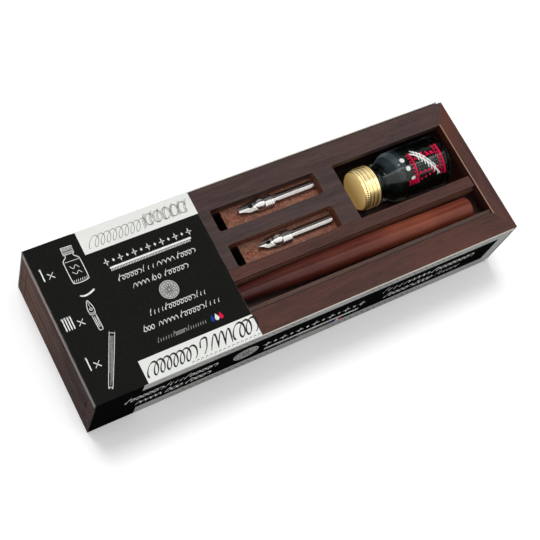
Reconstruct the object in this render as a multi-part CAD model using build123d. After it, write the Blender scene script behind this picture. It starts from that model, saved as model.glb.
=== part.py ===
from build123d import *
import os

# Calligraphy set box: a dark wooden tray with fitted bays, held in a folded card sleeve.
# The tray holds a penholder, four nibs with their reservoirs and a bottle of ink.
# Millimetres. +X runs along the box towards the bottle, +Y to its back, +Z up.
# The origin is at the middle of the footprint, on the surface that the sleeve lies on.

# Wooden tray: butt-jointed walls, a base board let in, and a mitred frame on top.
box_length = 216.0
box_width = 72.0
box_height = 36.0
wall = 5.5
base_board = 3.0
base_rebate = 2.5
frame_board = 4.0
frame_end = 7.6
seam = 0.15  # slack that lets a loose wooden piece drop into its place
overrun = 1.0  # how far a cut passes beyond what it cuts

# Brads through the long walls into the end walls.
brad_radius = 0.6
brad_length = 18.0
brad_head_radius = 1.1
brad_head = 0.6
brad_sink = 0.4
brad_slack = 0.05
brads_per_corner = 3
brad_margin = 6.0

# Card sleeve, with its glue flap inside the back panel.
card = 0.4
slip = 0.1
fold_radius = 0.45
sleeve_end_gap = 2.4  # how far the tray stands out of the sleeve's right end
top_panel_length = 77.3
glue_flap = 14.0
flap_end_taper = 6.0

# Penholder channel along the front, and the divider behind it.
pen_channel = 15.5
pen_bed_depth = 10.8
pen_bed_board = 4.0
lining_drop = 0.9  # from the tray's top down to the lining board
pen_bearer = 8.0
pen_bearer_count = 3
divider = 5.5
divider_end_gap = 0.9

# Nib tray: a block with four open-sided slots and a finger well in each.
nib_tray_width = 29.0
nib_tray_thickness = 12.0
slot_width = 11.0
slot_depth = 5.5
slot_end_block = 10.0
slot_spacer = 11.0  # solid wood between the two slots of a row
slot_corner = 1.2
finger_well = 6.2
bearer = 8.0
bearer_count = 2
partition = 6.0

# Bottle bay.
trough_depth = 1.4
lying_gap = 0.2  # daylight under a round piece that lies on wood
bottle_crown_drop = 2.9
bottle_back_gap = 4.0
bottle_end_gap = 2.9
cap_gap = 11.3  # room for the fingers between the cap and the nib tray

# Ink bottle, along its own axis from the mouth to the base.
bottle_radius = 12.2
bottle_length = 48.1
bottle_wall = 1.4
base_glass = 2.2
heel_radius = 2.2
push_up_radius = 7.5
push_up_depth = 0.8
push_up_slope = 1.0
push_up_round = 0.4
neck_radius = 8.2
lip_round = 0.5
mouth_radius = 5.7
neck_length = 13.2
neck_round = 1.6
bead_radius = 9.3
bead_height = 1.6
bead_round = 0.6
bead_places = (8.1, 10.9)
shoulder_length = 7.2
shoulder_slope = 6.2
shoulder_round = 3.4
cavity_mouth_round = 0.3
cavity_neck_round = 1.0
cavity_shoulder_round = 2.8
cavity_heel_round = 1.6
ink_gap = 0.1
ink_stop = 0.4  # where the ink ends, short of the liner
air_height = 1.9

# Screw thread shared by the neck and the cap.
thread_pitch = 2.5
thread_turns = 1.6
thread_start = 2.0
neck_thread_height = 0.8
cap_thread_height = 0.9
thread_root = 0.95
thread_crest = 0.45
thread_sunk = 0.15  # how far a ridge is rooted in its wall

# Screw cap and its liner disc.
cap_radius = 9.9
cap_wall = 0.45
cap_height = 9.3
cap_top = 0.6
cap_edge = 0.9
cap_lip_round = 0.2
cap_ring_radius = 0.45
cap_ring_places = (4.6, 6.9)
liner_radius = 9.1
liner_thickness = 0.9
liner_gap = 0.05

# Penholder, along its own axis from the nib end to the tail.
holder_radius = 5.25
holder_length = 165.0
holder_straight = 72.0
holder_mid = (124.0, 3.6)
holder_tail_radius = 2.2
holder_tail_slope = 0.01
holder_end_chamfer = 0.5
holder_end_gap = 7.3
holder_side_gap = 2.0
holder_front_gap = 0.6
holder_yaw = 1.0

# Nib ferrule pressed into the penholder.
ferrule_outer = 3.1
ferrule_wall = 0.3
ferrule_depth = 15.0
ferrule_slack = 0.05
petal_outer = 2.2
petal_wall = 0.25
petal_slot = 0.9
petal_root = 2.5
petal_recess = 1.0

# Nibs, each along its own axis from the tip to the end of the shank.
nib_length = 39.8
nib_sheet = 0.28
nib_body_radius = 3.7
nib_body_half = 3.1
nib_shoulder = 8.6
nib_body_end = 16.6
nib_waist = 19.2
nib_waist_half = 1.45
nib_shank_start = 21.6
nib_shank_radius = 2.55
nib_depth = 2.3
nib_vent_place = 6.3
nib_vent_radius = 0.75
nib_slit = 0.12
nib_flank_share = 0.32  # how far the blade has widened halfway to the vent
nib_tip_slope = 0.12
nib_waist_slope = 0.6
nib_overlap = 0.3  # shared length of the blade's and the shank's tubes
nib_lie_gap = 0.15

# Slip-on reservoir over each nib.
reservoir_start = 7.9
reservoir_end = 17.6
reservoir_sheet = 0.25
reservoir_gap = 0.06
reservoir_nose_half = 1.7
reservoir_nose_round = 2.2
reservoir_flare = 1.6
reservoir_half = 3.3
reservoir_tab = (12.4, 14.6)
reservoir_tab_half = 3.85
dome_radius = 3.2
dome_place = 11.0
dome_rise = 1.55

# Each nib: name, slot column (0 left, 1 right), slot row (0 front, 1 back), tip width,
# step off the middle of the slot, and gap from the shank to the slot's end.
nib_set = (
    ("pointed_nib", 1, 0, 0.3, 1.0, 1.3),
    ("broad_nib", 1, 1, 2.3, 1.7, 0.5),
    ("medium_nib", 0, 0, 1.5, 0.6, 1.6),
    ("fine_nib", 0, 1, 0.9, 1.4, 0.9),
)

# Places worked out from the sizes above.
sleeve_length = box_length - sleeve_end_gap
sleeve_width = box_width + 2 * slip + 3 * card
frame_side = (box_width - pen_channel - divider - nib_tray_width) / 2
left_x = -box_length / 2
right_x = box_length / 2
front_y = -sleeve_width / 2 + card + slip
back_y = front_y + box_width
floor_z = card + seam
top_z = floor_z + box_height
base_top_z = floor_z + base_board
frame_z = top_z - frame_board

inner_left = left_x + wall
inner_right = right_x - wall
inner_front = front_y + wall
inner_back = back_y - wall
well_left = left_x + frame_end
well_right = right_x - frame_end
well_front = front_y + frame_side
well_back = back_y - frame_side
channel_back = well_front + pen_channel
bay_front = channel_back + divider

bottle_axis_z = top_z - bottle_crown_drop - bottle_radius
bottle_axis_y = inner_back - bottle_back_gap - bottle_radius
bottle_base_x = inner_right - bottle_end_gap
bottle_bed_z = bottle_axis_z - bottle_radius - lying_gap + trough_depth
mouth_x = bottle_base_x - bottle_length
cap_reach = 2 * liner_gap + liner_thickness + cap_top  # from the mouth to the cap's closed end

nib_tray_right = mouth_x - cap_reach - cap_gap
nib_tray_bottom = top_z - nib_tray_thickness
slot_length = (nib_tray_right - well_left - 2 * slot_end_block - slot_spacer) / 2
slot_floor_z = top_z - slot_depth
slot_starts = (well_left + slot_end_block, nib_tray_right - slot_end_block - slot_length)
slot_fronts = (bay_front, well_back - slot_width)

pen_bed_z = top_z - pen_bed_depth
holder_axis_z = pen_bed_z + lying_gap + holder_radius
holder_butt_x = well_right - holder_end_gap
holder_butt_y = channel_back - holder_side_gap - holder_radius
lining_front_y = holder_butt_y - holder_radius - holder_front_gap
lining_z = top_z - lining_drop


def block(x0, x1, y0, y1, z0, z1):
    """A box between two corners."""
    middle = Pos((x0 + x1) / 2, (y0 + y1) / 2, (z0 + z1) / 2)
    return middle * Box(x1 - x0, y1 - y0, z1 - z0)


def rod_x(radius, x0, x1, y=0.0, z=0.0):
    """A cylinder along X."""
    return Pos((x0 + x1) / 2, y, z) * Rot(0, 90, 0) * Cylinder(radius, x1 - x0)


def rod_y(radius, y0, y1, x, z):
    """A cylinder along Y."""
    return Pos(x, (y0 + y1) / 2, z) * Rot(90, 0, 0) * Cylinder(radius, y1 - y0)


# Wooden tray


def base_panel():
    inset = wall - base_rebate
    return block(left_x + inset, right_x - inset, front_y + inset, back_y - inset, floor_z, base_top_z)


def brad_places():
    """Middle of each brad: x, z, and the sign of the way from the wall's face inwards."""
    spread = frame_z - floor_z - 2 * brad_margin
    heights = [floor_z + brad_margin + spread * n / (brads_per_corner - 1) for n in range(brads_per_corner)]
    return [(x, z, way) for x in (left_x + wall / 2, right_x - wall / 2) for z in heights for way in (1, -1)]


def brad(x, z, way, slack):
    """One brad, or with slack the hole that it sits in, open to the wall's face."""
    face = front_y if way == 1 else back_y
    ends = sorted((face + way * brad_sink, face + way * (brad_sink + brad_length + slack)))
    shank = rod_y(brad_radius + slack, ends[0], ends[1], x, z)
    head_start = face if slack else face + way * brad_sink
    head_ends = sorted((head_start, face + way * (brad_sink + brad_head + slack)))
    return shank + rod_y(brad_head_radius + slack, head_ends[0], head_ends[1], x, z)


def cut_for_brads(board):
    for x, z, way in brad_places():
        board -= brad(x, z, way, brad_slack)
    return board


def tray_walls():
    base = base_panel()
    boards = {
        "front_wall": block(left_x, right_x, front_y, inner_front, floor_z, frame_z),
        "back_wall": block(left_x, right_x, inner_back, back_y, floor_z, frame_z),
        "left_wall": block(left_x, inner_left, inner_front, inner_back, floor_z, frame_z),
        "right_wall": block(inner_right, right_x, inner_front, inner_back, floor_z, frame_z),
    }
    return {name: cut_for_brads(board - base) for name, board in boards.items()}


def corner_brads():
    return Compound(children=[brad(x, z, way, 0.0) for x, z, way in brad_places()])


def frame_rails():
    """Four boards that lie on the walls, reach in over the bays, and meet in mitres."""
    outer = [(left_x, front_y), (right_x, front_y), (right_x, back_y), (left_x, back_y)]
    near, far = (well_left, well_front), (well_right, well_back)
    inner = [near, (far[0], near[1]), far, (near[0], far[1])]
    rails = {}
    for n, name in enumerate(("front_rail", "right_rail", "back_rail", "left_rail")):
        following = (n + 1) % len(outer)
        corners = [outer[n], outer[following], inner[following], inner[n]]
        rails[name] = Pos(0, 0, frame_z) * extrude(make_face(Polyline(*corners, close=True)), frame_board)
    return rails


def long_divider():
    """Flush with the frame between the end rails, and stepped to run on below them."""
    foot = block(inner_left, inner_right, channel_back, bay_front, base_top_z, frame_z)
    return foot + block(well_left, well_right - divider_end_gap, channel_back, bay_front, frame_z, top_z)


def nib_tray():
    """Two slots along each side, open to the board beside it, and a tongue under the back rail."""
    x0, y0 = well_left + seam, bay_front + seam
    tray = block(x0, nib_tray_right, y0, well_back - seam, nib_tray_bottom, top_z)
    tray += block(x0, nib_tray_right, y0, inner_back - seam, nib_tray_bottom, frame_z)
    for x0 in slot_starts:
        for y0 in slot_fronts:
            pocket = block(x0, x0 + slot_length, y0, y0 + slot_width, slot_floor_z, top_z)
            tray -= fillet(pocket.edges().filter_by(Axis.Z), slot_corner)
            tray -= block(x0, x0 + finger_well, y0, y0 + slot_width, nib_tray_bottom, slot_floor_z)
    return tray


def nib_tray_bearers():
    """Cross battens under the nib tray, between its left end and the partition."""
    span = nib_tray_right - partition - well_left - bearer
    starts = [well_left + span * n / bearer_count for n in range(bearer_count)]
    return Compound(
        children=[block(x, x + bearer, bay_front, inner_back, base_top_z, nib_tray_bottom) for x in starts]
    )


def bay_partition():
    left = nib_tray_right - partition
    return block(left, nib_tray_right, bay_front, inner_back, base_top_z, nib_tray_bottom)


def bottle_bed():
    """A raised floor with a shallow trough that keeps the bottle from rolling."""
    bed = block(nib_tray_right, inner_right, bay_front, inner_back, base_top_z, bottle_bed_z)
    trough = rod_x(bottle_radius + lying_gap, nib_tray_right, inner_right, bottle_axis_y, bottle_axis_z)
    return bed - trough


def pen_bed():
    bottom = pen_bed_z - pen_bed_board
    return block(inner_left, inner_right, inner_front, channel_back, bottom, pen_bed_z)


def channel_lining():
    """A thin board that stands on the bed against the front rail."""
    return block(well_left, well_right, well_front, lining_front_y, pen_bed_z, lining_z)


def pen_bed_bearers():
    span = inner_right - inner_left - pen_bearer
    starts = [inner_left + span * n / (pen_bearer_count - 1) for n in range(pen_bearer_count)]
    top = pen_bed_z - pen_bed_board
    return Compound(
        children=[block(x, x + pen_bearer, inner_front, channel_back, base_top_z, top) for x in starts]
    )


# Card sleeve


def sleeve():
    """One folded sheet: front, bottom and back panels at full length, a short top panel, a glue flap."""
    hollow_front = front_y - slip
    hollow_back = sleeve_width / 2 - card
    hollow_top = top_z + slip
    end_x = left_x + sleeve_length
    outside = block(left_x, end_x, -sleeve_width / 2, sleeve_width / 2, 0, hollow_top + card)
    outside = fillet(outside.edges().filter_by(Axis.X), fold_radius)
    hollow = block(left_x, end_x, hollow_front, hollow_back, card, hollow_top)
    window = block(
        left_x + top_panel_length, end_x, -sleeve_width / 2, sleeve_width / 2, hollow_top, hollow_top + card
    )
    flap_start, flap_end = left_x + flap_end_taper, end_x - flap_end_taper
    flap = block(flap_start, flap_end, hollow_back - card, hollow_back, card, card + glue_flap)
    return outside - hollow - window + flap


# Ink bottle


def turned(points, radii):
    """A solid of revolution about X. The points run along the outline, from axis to axis."""
    outline = FilletPolyline(*points, radius=radii)
    closing = Line(points[-1], points[0])
    return revolve(make_face([*outline.edges(), closing]), Axis.X)


def thread_ridge(radius, height, inwards):
    """A right-hand helical ridge about -X, from thread_start behind the mouth."""
    helix = Helix(pitch=thread_pitch, height=thread_pitch * thread_turns, radius=radius)
    way = -1 if inwards else 1
    sunk = -thread_sunk * way
    section_plane = Plane(origin=helix @ 0, x_dir=(1, 0, 0), z_dir=helix % 0)
    corners = [
        (sunk, -thread_root / 2),
        (height * way, -thread_crest / 2),
        (height * way, thread_crest / 2),
        (sunk, thread_root / 2),
    ]
    section = section_plane * make_face(Polyline(*corners, close=True))
    ridge = sweep(section, path=helix, is_frenet=True)
    return Rot(0, -90, 0) * ridge


def glass_bottle():
    outer = turned(
        [
            (0, 0),
            (0, neck_radius),
            (neck_length, neck_radius),
            (neck_length + shoulder_slope, bottle_radius),
            (bottle_length, bottle_radius),
            (bottle_length, push_up_radius),
            (bottle_length - push_up_depth, push_up_radius - push_up_slope),
            (bottle_length - push_up_depth, 0),
        ],
        [lip_round, neck_round, shoulder_round, heel_radius, push_up_round, push_up_round],
    )
    for place in bead_places:
        bead = rod_x(bead_radius, place, place + bead_height)
        outer += fillet(bead.edges().filter_by(GeomType.CIRCLE), bead_round)
    ridge = thread_ridge(neck_radius, neck_thread_height, inwards=False)
    ridge = Pos(thread_start + thread_pitch * thread_turns, 0, 0) * ridge
    return outer + ridge - bottle_cavity(0.0)


def bottle_cavity(gap):
    """The space inside the glass, or the ink's outline at a gap from the glass."""
    inner = bottle_radius - bottle_wall
    floor = bottle_length - base_glass - push_up_depth
    return turned(
        [
            (gap, 0),
            (gap, mouth_radius - gap),
            (neck_length + bottle_wall, mouth_radius - gap),
            (neck_length + shoulder_length, inner - gap),
            (floor - gap, inner - gap),
            (floor - gap, 0),
        ],
        [cavity_mouth_round, cavity_neck_round, cavity_shoulder_round, cavity_heel_round],
    )


def place_bottle(piece):
    return Pos(mouth_x, bottle_axis_y, bottle_axis_z) * piece


def ink():
    level = bottle_radius - bottle_wall - air_height
    side = bottle_radius
    air = block(-overrun, bottle_length, -side, side, level, side)
    mouth = block(-overrun, ink_stop, -side, side, -side, side)
    return bottle_cavity(ink_gap) - air - mouth


def cap_liner():
    return rod_x(liner_radius, -liner_gap - liner_thickness, -liner_gap)


def screw_cap():
    """A metal cap: a rounded top, two rolled rings, and a thread ridge inside."""
    top_x = -cap_reach
    outside = turned(
        [
            (top_x, 0),
            (top_x, cap_radius),
            (top_x + cap_height, cap_radius),
            (top_x + cap_height, 0),
        ],
        [cap_edge, cap_lip_round],
    )
    for place in cap_ring_places:
        ring = Torus(cap_radius, cap_ring_radius)
        outside += Pos(top_x + place, 0, 0) * Rot(0, 90, 0) * ring
    inside = rod_x(cap_radius - cap_wall, top_x + cap_top, top_x + cap_height)
    ridge = thread_ridge(cap_radius - cap_wall, cap_thread_height, inwards=True)
    half_pitch = thread_pitch / 2
    ridge = Pos(thread_start + thread_pitch * thread_turns + half_pitch, 0, 0) * ridge
    return outside - inside + ridge


# Penholder


def holder_profile():
    """Half outline of the turned wood: a straight grip, then a curve down to a thin round tail."""
    tail_start = holder_length - holder_tail_radius
    grip = Polyline(
        (0, 0), (0, holder_radius - holder_end_chamfer), (-holder_end_chamfer, holder_radius),
        (-holder_straight, holder_radius),
    )
    taper = Spline(
        (-holder_straight, holder_radius),
        (-holder_mid[0], holder_mid[1]),
        (-tail_start, holder_tail_radius),
        tangents=((-1, 0), (-1, -holder_tail_slope)),
    )
    tail = RadiusArc((-tail_start, holder_tail_radius), (-holder_length, 0), -holder_tail_radius)
    axis = Line((-holder_length, 0), (0, 0))
    return make_face([*grip.edges(), taper, tail, axis])


def place_holder(piece):
    return Pos(holder_butt_x, holder_butt_y, holder_axis_z) * Rot(0, 0, -holder_yaw) * piece


def penholder():
    bore = rod_x(ferrule_outer + ferrule_slack, -ferrule_depth - ferrule_slack, 0)
    return revolve(holder_profile(), Axis.X) - bore


def nib_ferrule():
    """A pressed cup: an outer tube, and four petals that the nib's shank slides over."""
    floor = -ferrule_depth + ferrule_wall
    tube = rod_x(ferrule_outer, -ferrule_depth, 0) - rod_x(ferrule_outer - ferrule_wall, floor, 0)
    petals = rod_x(petal_outer, floor, -petal_recess) - rod_x(petal_outer - petal_wall, floor, -petal_recess)
    slots_start = floor + petal_root
    petals -= block(slots_start, 0, -petal_slot / 2, petal_slot / 2, -petal_outer, petal_outer)
    petals -= block(slots_start, 0, -petal_outer, petal_outer, -petal_slot / 2, petal_slot / 2)
    return tube + petals


# Nibs


def nib_outline(tip_width):
    """Plan of the blank, folded about its middle line."""
    tip = tip_width / 2
    shank_half = nib_shank_radius + nib_sheet
    flank = Spline(
        (0, tip),
        (nib_vent_place / 2, tip + nib_flank_share * (nib_body_half - tip)),
        (nib_shoulder, nib_body_half),
        tangents=((1, nib_tip_slope), (1, 0)),
    )
    side = Line((nib_shoulder, nib_body_half), (nib_body_end, nib_body_half))
    narrow = (nib_waist, nib_waist_half)
    waist_in = Spline((nib_body_end, nib_body_half), narrow, tangents=((1, -nib_waist_slope), (1, 0)))
    waist_out = Spline(narrow, (nib_shank_start, shank_half), tangents=((1, 0), (1, 0)))
    shank = Line((nib_shank_start, shank_half), (nib_length, shank_half))
    half = [flank, side, waist_in, waist_out, shank]
    other = [mirror(edge, Plane.XZ).edges()[0] for edge in half]
    ends = [Line((0, tip), (0, -tip)), Line((nib_length, shank_half), (nib_length, -shank_half))]
    return make_face([*half, *other, *ends])


def curved_sheet(outline, radius, sheet, x0, x1):
    """The part of a plan outline between two places along the nib, on a round crest at z 0."""
    tube = rod_x(radius, x0, x1, z=-radius) - rod_x(radius - sheet, x0, x1, z=-radius)
    wide = radius + sheet
    return extrude(outline, wide, both=True) & tube & block(x0, x1, -wide, wide, -nib_depth, overrun)


def nib(tip_width):
    outline = nib_outline(tip_width)
    body = curved_sheet(outline, nib_body_radius, nib_sheet, 0, nib_waist + nib_overlap)
    shank = curved_sheet(outline, nib_shank_radius, nib_sheet, nib_waist - nib_overlap, nib_length)
    vent = Pos(nib_vent_place, 0, 0) * Cylinder(nib_vent_radius, 2 * nib_depth)
    slit = block(-overrun, nib_vent_place, -nib_slit / 2, nib_slit / 2, -nib_depth, overrun)
    return body + shank - vent - slit


def reservoir_outline():
    nose_low = (reservoir_start, -reservoir_nose_half)
    nose_high = (reservoir_start, reservoir_nose_half)
    nose = RadiusArc(nose_low, nose_high, reservoir_nose_round)
    flare_end = reservoir_start + reservoir_flare
    tab_start, tab_end = reservoir_tab
    side = [
        (reservoir_start, reservoir_nose_half),
        (flare_end, reservoir_half),
        (tab_start, reservoir_half),
        (tab_start, reservoir_tab_half),
        (tab_end, reservoir_tab_half),
        (tab_end, reservoir_half),
        (reservoir_end, reservoir_half),
    ]
    near = Polyline(*side)
    far = Polyline(*[(x, -y) for x, y in side])
    end = Line(side[-1], (reservoir_end, -reservoir_half))
    return make_face([nose, *near.edges(), *far.edges(), end])


def reservoir():
    """A sheet clip over the nib's crest, with side tabs and a raised dome that holds the ink."""
    inner = nib_body_radius + reservoir_gap
    outer = inner + reservoir_sheet
    x0, x1 = reservoir_start - overrun, reservoir_end
    tube = rod_x(outer, x0, x1, z=-nib_body_radius) - rod_x(inner, x0, x1, z=-nib_body_radius)
    upper = block(x0, x1, -outer, outer, -nib_depth, overrun)
    clip = extrude(reservoir_outline(), outer, both=True) & tube & upper
    crest = outer - nib_body_radius
    centre = Pos(dome_place, 0, crest + dome_rise - dome_radius)
    dome = centre * Sphere(dome_radius) - rod_x(inner, x0, x1, z=-nib_body_radius)
    return (clip + dome) - centre * Sphere(dome_radius - reservoir_sheet)


def place_nib(piece, column, row, side_step, end_gap):
    x = slot_starts[column] + slot_length - end_gap - nib_length
    y = slot_fronts[row] + slot_width / 2 + side_step
    return Pos(x, y, slot_floor_z + nib_lie_gap + nib_depth) * piece


def build():
    parts = {"base_panel": base_panel(), **tray_walls(), **frame_rails()}
    parts["corner_brads"] = corner_brads()
    parts["long_divider"] = long_divider()
    parts["nib_tray"] = nib_tray()
    parts["nib_tray_bearers"] = nib_tray_bearers()
    parts["bay_partition"] = bay_partition()
    parts["bottle_bed"] = bottle_bed()
    parts["pen_bed"] = pen_bed()
    parts["channel_lining"] = channel_lining()
    parts["pen_bed_bearers"] = pen_bed_bearers()
    parts["sleeve"] = sleeve()
    parts["glass_bottle"] = place_bottle(glass_bottle())
    parts["ink"] = place_bottle(ink())
    parts["cap_liner"] = place_bottle(cap_liner())
    parts["screw_cap"] = place_bottle(screw_cap())
    parts["penholder"] = place_holder(penholder())
    parts["nib_ferrule"] = place_holder(nib_ferrule())
    for name, column, row, tip_width, side_step, end_gap in nib_set:
        parts[name] = place_nib(nib(tip_width), column, row, side_step, end_gap)
        parts[name + "_reservoir"] = place_nib(reservoir(), column, row, side_step, end_gap)
    return parts


os.makedirs("parts", exist_ok=True)
for name, shape in build().items():
    export_step(shape, f"parts/{name}.step")
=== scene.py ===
import bpy
import bmesh
import math
from collections import defaultdict
from mathutils import Matrix, Vector, noise


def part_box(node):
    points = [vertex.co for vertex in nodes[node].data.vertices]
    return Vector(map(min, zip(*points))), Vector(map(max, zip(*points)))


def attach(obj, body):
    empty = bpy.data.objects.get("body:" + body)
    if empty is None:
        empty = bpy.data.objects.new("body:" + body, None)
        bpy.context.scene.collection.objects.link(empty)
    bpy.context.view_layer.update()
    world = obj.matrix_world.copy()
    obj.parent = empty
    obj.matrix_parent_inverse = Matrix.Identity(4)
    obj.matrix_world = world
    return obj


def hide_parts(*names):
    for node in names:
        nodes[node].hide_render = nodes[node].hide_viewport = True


# Calligraphy set box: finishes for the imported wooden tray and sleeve, and the small work on top of them.
# Print, knurling, pressed ribs, milled slot floors and the ink are made here.
# Shader code is in metres. Mesh code is in mm until finishMesh.
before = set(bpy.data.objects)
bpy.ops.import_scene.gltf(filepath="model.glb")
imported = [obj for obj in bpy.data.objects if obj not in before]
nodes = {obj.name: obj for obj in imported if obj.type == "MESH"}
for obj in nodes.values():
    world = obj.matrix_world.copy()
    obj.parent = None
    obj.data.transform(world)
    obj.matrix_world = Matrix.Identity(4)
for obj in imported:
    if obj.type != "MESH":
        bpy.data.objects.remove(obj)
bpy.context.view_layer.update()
mm = 0.001
print("frame loaded,", len(nodes), "nodes")


# Shader helpers. A Wire is a node's outlet that takes part in sums like a number.

class Wire:
    def __init__(self, tree, outlet):
        self.tree, self.outlet = tree, outlet

    def __add__(self, other):
        return calc("ADD", self, other)

    def __sub__(self, other):
        return calc("SUBTRACT", self, other)

    def __rsub__(self, other):
        return calc("SUBTRACT", other, self)

    def __mul__(self, other):
        return calc("MULTIPLY", self, other)

    def __abs__(self):
        return calc("ABSOLUTE", self, 0.0)


def plug(tree, node, inputs):
    for name, value in inputs.items():
        if isinstance(value, Wire):
            tree.links.new(value.outlet, node.inputs[name])
        else:
            node.inputs[name].default_value = value


def put(tree, kind, inputs=None, **settings):
    node = tree.nodes.new("ShaderNode" + kind)
    for name, value in settings.items():
        setattr(node, name, value)
    plug(tree, node, inputs or {})
    return node


def run(kind, inputs, outlet=0, **settings):
    tree = next(value.tree for value in inputs.values() if isinstance(value, Wire))
    return Wire(tree, put(tree, kind, inputs, **settings).outputs[outlet])


def calc(operation, first, second):
    return run("Math", {0: first, 1: second}, operation=operation)


def shift(operation, first, second):
    return run("VectorMath", {0: first, 1: second}, operation=operation)


def mixed(factor, first, second, mode="MIX"):
    return run("Mix", {0: factor, 6: first, 7: second}, 2, data_type="RGBA", blend_type=mode)


def blended(factor, first, second):
    return run("Mix", {0: factor, 2: first, 3: second}, data_type="FLOAT")


def eased(value, low, high, start=0.0, end=1.0):
    settings = {"Value": value, "From Min": low, "From Max": high, "To Min": start, "To Max": end}
    return run("MapRange", settings, interpolation_type="SMOOTHSTEP")


def cloud(place, scale, detail=2.0, roughness=0.5):
    return run("TexNoise", {"Vector": place, "Scale": scale, "Detail": detail, "Roughness": roughness})


def bumped(height, strength, distance):
    return run("Bump", {"Height": height, "Strength": strength, "Distance": distance})


def split(wire):
    return [Wire(wire.tree, outlet) for outlet in put(wire.tree, "SeparateXYZ", {0: wire}).outputs]


def faceWay(tree, kind="Normal"):
    return Wire(tree, put(tree, "NewGeometry").outputs[kind])


def tone(red, green, blue):
    return (red, green, blue, 1.0)


def startGroup(name, **wanted):
    group = bpy.data.node_groups.new(name, "ShaderNodeTree")
    for label, value in {"Vector": (0.0, 0.0, 0.0), **wanted}.items():
        kind = "Float" if isinstance(value, float) else {3: "Vector", 4: "Color"}[len(value)]
        socket = group.interface.new_socket(name=label, in_out="INPUT", socket_type="NodeSocket" + kind)
        socket.default_value = value
    outlets = group.nodes.new("NodeGroupInput").outputs
    return group, {outlet.name: Wire(group, outlet) for outlet in outlets if outlet.name}


def closeGroup(group, **made):
    for label in made:
        kind = "Color" if label == "Color" else "Float"
        group.interface.new_socket(name=label, in_out="OUTPUT", socket_type="NodeSocket" + kind)
    plug(group, group.nodes.new("NodeGroupOutput"), made)
    return group


def useGroup(group, **inputs):
    tree = inputs["Vector"].tree
    node = put(tree, "Group", inputs, node_tree=group)
    return {outlet.name: Wire(tree, outlet) for outlet in node.outputs}


def startMaterial(name):
    material = bpy.data.materials.new(name)
    material.use_nodes = True
    tree = material.node_tree
    tree.nodes.clear()
    skin = put(tree, "BsdfPrincipled")
    put(tree, "OutputMaterial", {0: Wire(tree, skin.outputs[0])})
    return material, skin, Wire(tree, put(tree, "TexCoord").outputs["Object"])


def feed(skin, **inputs):
    plug(skin.id_data, skin, {name.replace("_", " "): value for name, value in inputs.items()})


def dress(name, material):
    nodes[name].data.materials.clear()
    nodes[name].data.materials.append(material)


# Shared effects. Every group takes a place in metres and puts out colours, masks and heights.

def buildBoardGrain():
    group, given = startGroup("boardGrain", Fibre=2200.0, Stretch=16.0, Dark=tone(.03, .018, .015),
                              Mid=tone(.08, .05, .045), Warm=tone(.12, .04, .025), Warmth=0.4, Pores=0.5)
    place, fibre = given["Vector"], given["Fibre"]
    x, y, z = split(place)
    sway = (cloud(place, 45, 2) - 0.5) * 0.004
    drawn = run("CombineXYZ", {0: calc("DIVIDE", x, given["Stretch"]), 1: y + sway, 2: z})
    fine = cloud(drawn, fibre, 3, 0.6)
    broad = cloud(drawn, fibre * 0.16, 2)
    openPores = eased(cloud(shift("ADD", drawn, (0.3, 0.2, 0.1)), fibre * 1.5, 1), 0.6, 0.72)
    color = mixed(eased(fine * 0.55 + broad * 0.45, 0.33, 0.66), given["Dark"], given["Mid"])
    color = mixed(eased(cloud(place, 24, 2), 0.38, 0.66) * given["Warmth"], color, given["Warm"])
    shade = 1.0 - openPores * given["Pores"]
    dimmed = run("CombineColor", {0: shade, 1: shade, 2: shade})
    return closeGroup(group, Color=mixed(1.0, color, dimmed, "MULTIPLY"),
                      Height=fine * 0.6 - openPores * 0.8, Gloss=(broad - 0.5) * 0.3)


def buildRubbedEdge():
    group, given = startGroup("rubbedEdge", Radius=0.0004, Patchiness=0.5)
    softened = run("Bevel", {"Radius": given["Radius"]}, samples=6)
    match = run("VectorMath", {0: softened, 1: faceWay(group)}, "Value", operation="DOT_PRODUCT")
    patch = eased(cloud(given["Vector"], 160, 3, 0.6), 0.35, 0.65)
    kept = (1.0 - given["Patchiness"]) + patch * given["Patchiness"]
    return closeGroup(group, Mask=eased(match, 0.995, 0.86) * kept)


def buildMilledFibre():
    group, given = startGroup("milledFibre", Deep=tone(.05, .02, .012), Bare=tone(.16, .06, .035),
                              Pale=tone(.4, .22, .15), PaleShare=0.5)
    warp = run("TexNoise", {"Vector": given["Vector"], "Scale": 260.0}, "Color")
    bent = shift("ADD", given["Vector"], shift("MULTIPLY", warp, (0.0016, 0.0016, 0.0016)))
    grain = cloud(bent, 900, 4, 0.7)
    chips = run("TexVoronoi", {"Vector": bent, "Scale": 850.0}, "Distance", feature="F1")
    fibres = cloud(shift("MULTIPLY", bent, (0.16, 1.0, 1.0)), 3000, 2, 0.6)
    color = mixed(eased(grain, 0.34, 0.62), given["Deep"], given["Bare"])
    color = mixed(eased(chips, 0.55, 0.85, 0.0, 0.6), color, given["Deep"])
    color = mixed(eased(fibres, 0.6, 0.74) * given["PaleShare"], color, given["Pale"])
    return closeGroup(group, Color=color, Height=grain * 0.7 + fibres * 0.4)


def buildBrushedTrace():
    group, given = startGroup("brushedTrace", Spread=(1.0, 1.0, 1.0), Fine=2500.0, Roughness=0.2, Amount=0.1)
    lines = cloud(shift("MULTIPLY", given["Vector"], given["Spread"]), given["Fine"], 3, 0.65)
    smear = cloud(given["Vector"], 220, 2)
    worn = (lines - 0.5) * given["Amount"] + (smear - 0.45) * given["Amount"]
    return closeGroup(group, Roughness=calc("MAXIMUM", given["Roughness"] + worn, 0.02), Height=lines)


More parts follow.
